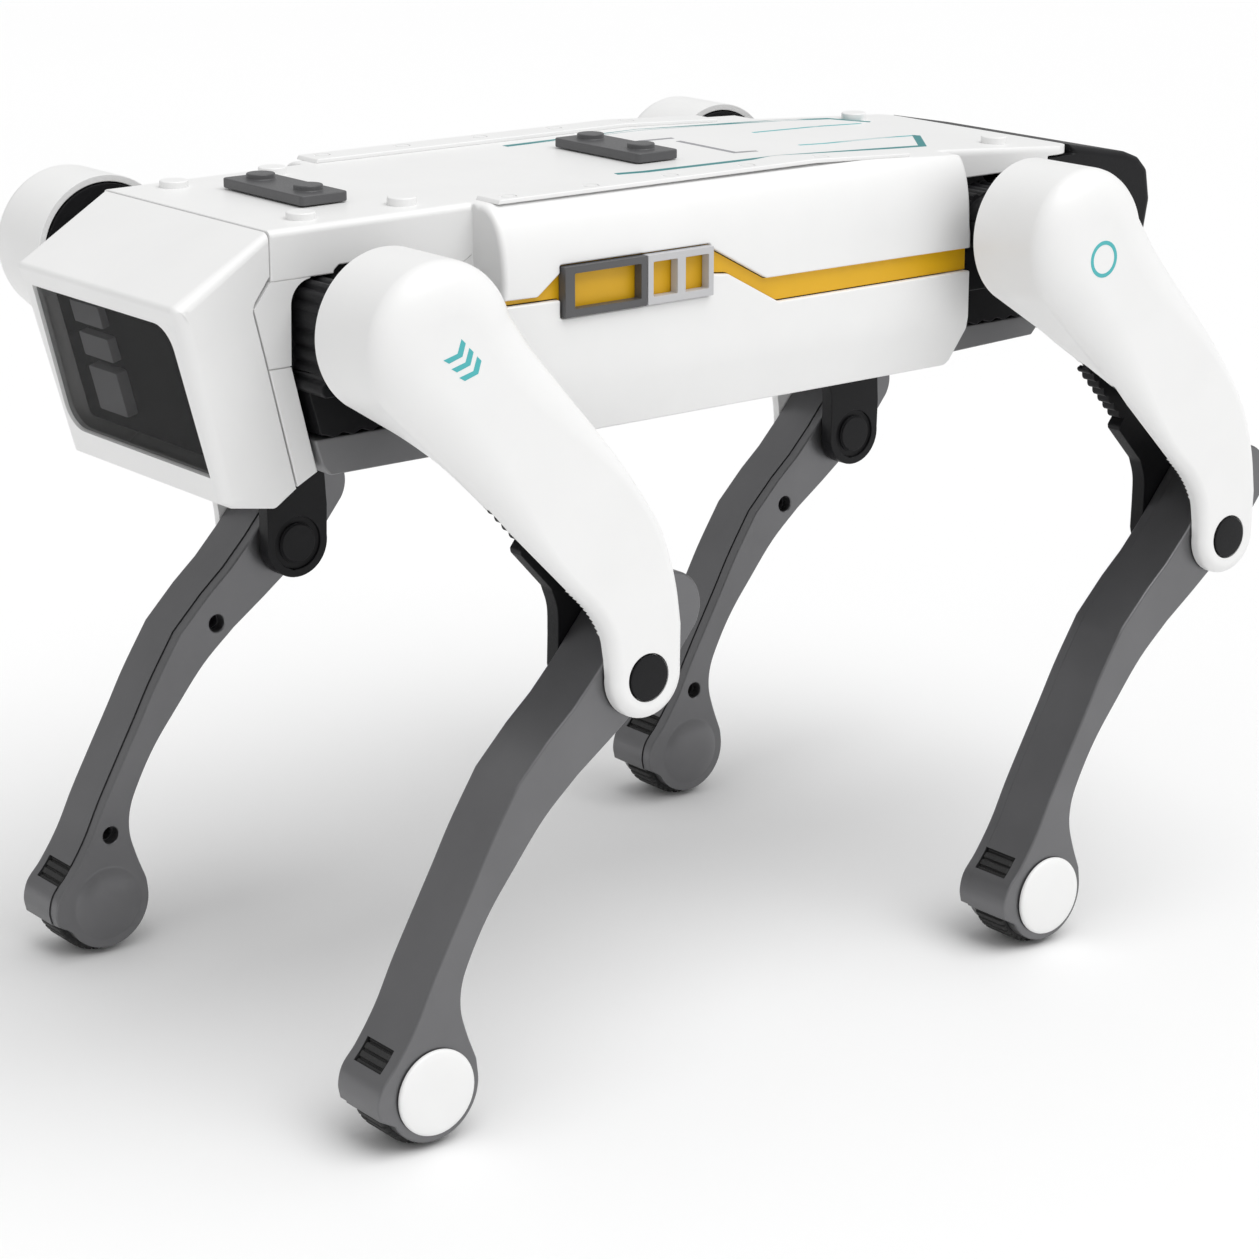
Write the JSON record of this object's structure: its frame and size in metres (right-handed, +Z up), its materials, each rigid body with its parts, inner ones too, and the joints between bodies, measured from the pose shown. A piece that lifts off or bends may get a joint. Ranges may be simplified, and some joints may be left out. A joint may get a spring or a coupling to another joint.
{
  "type": "robot dog toy",
  "caption": "Four-legged robot dog toy with hinged hips and knees, a roller in each foot, a boxy head with a dark visor and a flat deck with studs.",
  "frame": {"origin": "on the ground, on the symmetry plane, under the middle of the overall length", "axes": "+X to the dog's left, +Y towards the tail, +Z up; the head faces -Y"},
  "size_m": [0.1786, 0.3134, 0.2145],
  "materials": {
    "white_shell": "satin white",
    "black_frame": "fine matte black",
    "gunmetal": "metallic grey paint",
    "dark_grey": "satin dark grey",
    "light_grey": "satin light grey",
    "yellow_stripe": "satin amber yellow",
    "visor_dark": "polished smoke black",
    "roller_rubber": "ribbed black",
    "battery_wrap": "shrink wrap",
    "board_green": "solder resist",
    "speaker_steel": "plain",
    "socket_brass": "plain"
  },
  "bodies": {
    "body": {"upper_shell": "white_shell", "side_panel_left": "white_shell", "side_panel_right": "white_shell", "stripe_left": "yellow_stripe", "stripe_right": "yellow_stripe", "dark_window_frame_left": "dark_grey", "dark_window_frame_right": "dark_grey", "light_window_frame_left": "light_grey", "light_window_frame_right": "light_grey", "deck_rail_left": "white_shell", "deck_rail_right": "white_shell", "front_stud_plate": "dark_grey", "middle_stud_plate": "dark_grey", "head_cover": "white_shell", "head_shell": "white_shell", "visor": "visor_dark", "display_blocks": "dark_grey", "tail_cap": "black_frame", "belly_tray": "light_grey", "battery_door": "light_grey", "chassis": "black_frame", "front_gearbox": "black_frame", "rear_gearbox": "black_frame", "battery_pack": "battery_wrap", "circuit_board": "board_green", "speaker": "speaker_steel", "charge_socket": "socket_brass", "front_left_hip_bearing": "black_frame", "front_right_hip_bearing": "black_frame", "rear_left_hip_bearing": "black_frame", "rear_right_hip_bearing": "black_frame"},
    "front_left_thigh": {"front_left_thigh_cover": "white_shell", "front_left_thigh_frame": "black_frame", "front_left_knee_pin": "dark_grey"},
    "front_left_calf": {"front_left_calf_shell": "gunmetal", "front_left_calf_plate": "gunmetal", "front_left_foot_cap": "white_shell"},
    "front_left_roller": {"front_left_foot_roller": "roller_rubber"},
    "front_right_thigh": {"front_right_thigh_cover": "white_shell", "front_right_thigh_frame": "black_frame", "front_right_knee_pin": "dark_grey"},
    "front_right_calf": {"front_right_calf_shell": "gunmetal", "front_right_calf_plate": "gunmetal", "front_right_foot_cap": "white_shell"},
    "front_right_roller": {"front_right_foot_roller": "roller_rubber"},
    "rear_left_thigh": {"rear_left_thigh_cover": "white_shell", "rear_left_thigh_frame": "black_frame", "rear_left_knee_pin": "dark_grey"},
    "rear_left_calf": {"rear_left_calf_shell": "gunmetal", "rear_left_calf_plate": "gunmetal", "rear_left_foot_cap": "white_shell"},
    "rear_left_roller": {"rear_left_foot_roller": "roller_rubber"},
    "rear_right_thigh": {"rear_right_thigh_cover": "white_shell", "rear_right_thigh_frame": "black_frame", "rear_right_knee_pin": "dark_grey"},
    "rear_right_calf": {"rear_right_calf_shell": "gunmetal", "rear_right_calf_plate": "gunmetal", "rear_right_foot_cap": "white_shell"},
    "rear_right_roller": {"rear_right_foot_roller": "roller_rubber"},
    "switch": {"power_switch": "black_frame"}
  },
  "joints": [
    {"name": "front_left_hip", "type": "hinge", "parent": "body", "child": "front_left_thigh", "pos_m": [0.045, -0.1173, 0.1896], "axis": [1, 0, 0], "range_deg": [-35, 15]},
    {"name": "front_left_knee", "type": "hinge", "parent": "front_left_thigh", "child": "front_left_calf", "pos_m": [0.076, -0.0636, 0.1044], "axis": [1, 0, 0], "range_deg": [-25, 30]},
    {"name": "front_left_roller_spin", "type": "hinge", "parent": "front_left_calf", "child": "front_left_roller", "pos_m": [0.0754, -0.1233, 0.0142], "axis": [1, 0, 0], "continuous": true},
    {"name": "front_right_hip", "type": "hinge", "parent": "body", "child": "front_right_thigh", "pos_m": [-0.045, -0.1173, 0.1896], "axis": [1, 0, 0], "range_deg": [-35, 15]},
    {"name": "front_right_knee", "type": "hinge", "parent": "front_right_thigh", "child": "front_right_calf", "pos_m": [-0.076, -0.0636, 0.1044], "axis": [1, 0, 0], "range_deg": [-25, 30]},
    {"name": "front_right_roller_spin", "type": "hinge", "parent": "front_right_calf", "child": "front_right_roller", "pos_m": [-0.0754, -0.1233, 0.0142], "axis": [1, 0, 0], "continuous": true},
    {"name": "rear_left_hip", "type": "hinge", "parent": "body", "child": "rear_left_thigh", "pos_m": [0.045, 0.0827, 0.1896], "axis": [1, 0, 0], "range_deg": [-15, 35]},
    {"name": "rear_left_knee", "type": "hinge", "parent": "rear_left_thigh", "child": "rear_left_calf", "pos_m": [0.076, 0.1364, 0.1044], "axis": [1, 0, 0], "range_deg": [-25, 30]},
    {"name": "rear_left_roller_spin", "type": "hinge", "parent": "rear_left_calf", "child": "rear_left_roller", "pos_m": [0.0754, 0.0767, 0.0142], "axis": [1, 0, 0], "continuous": true},
    {"name": "rear_right_hip", "type": "hinge", "parent": "body", "child": "rear_right_thigh", "pos_m": [-0.045, 0.0827, 0.1896], "axis": [1, 0, 0], "range_deg": [-15, 35]},
    {"name": "rear_right_knee", "type": "hinge", "parent": "rear_right_thigh", "child": "rear_right_calf", "pos_m": [-0.076, 0.1364, 0.1044], "axis": [1, 0, 0], "range_deg": [-25, 30]},
    {"name": "rear_right_roller_spin", "type": "hinge", "parent": "rear_right_calf", "child": "rear_right_roller", "pos_m": [-0.0754, 0.0767, 0.0142], "axis": [1, 0, 0], "continuous": true},
    {"name": "power_switch_slide", "type": "slide", "parent": "body", "child": "switch", "axis": [0, 1, 0], "range_m": [-0.0025, 0.0025]}
  ]
}
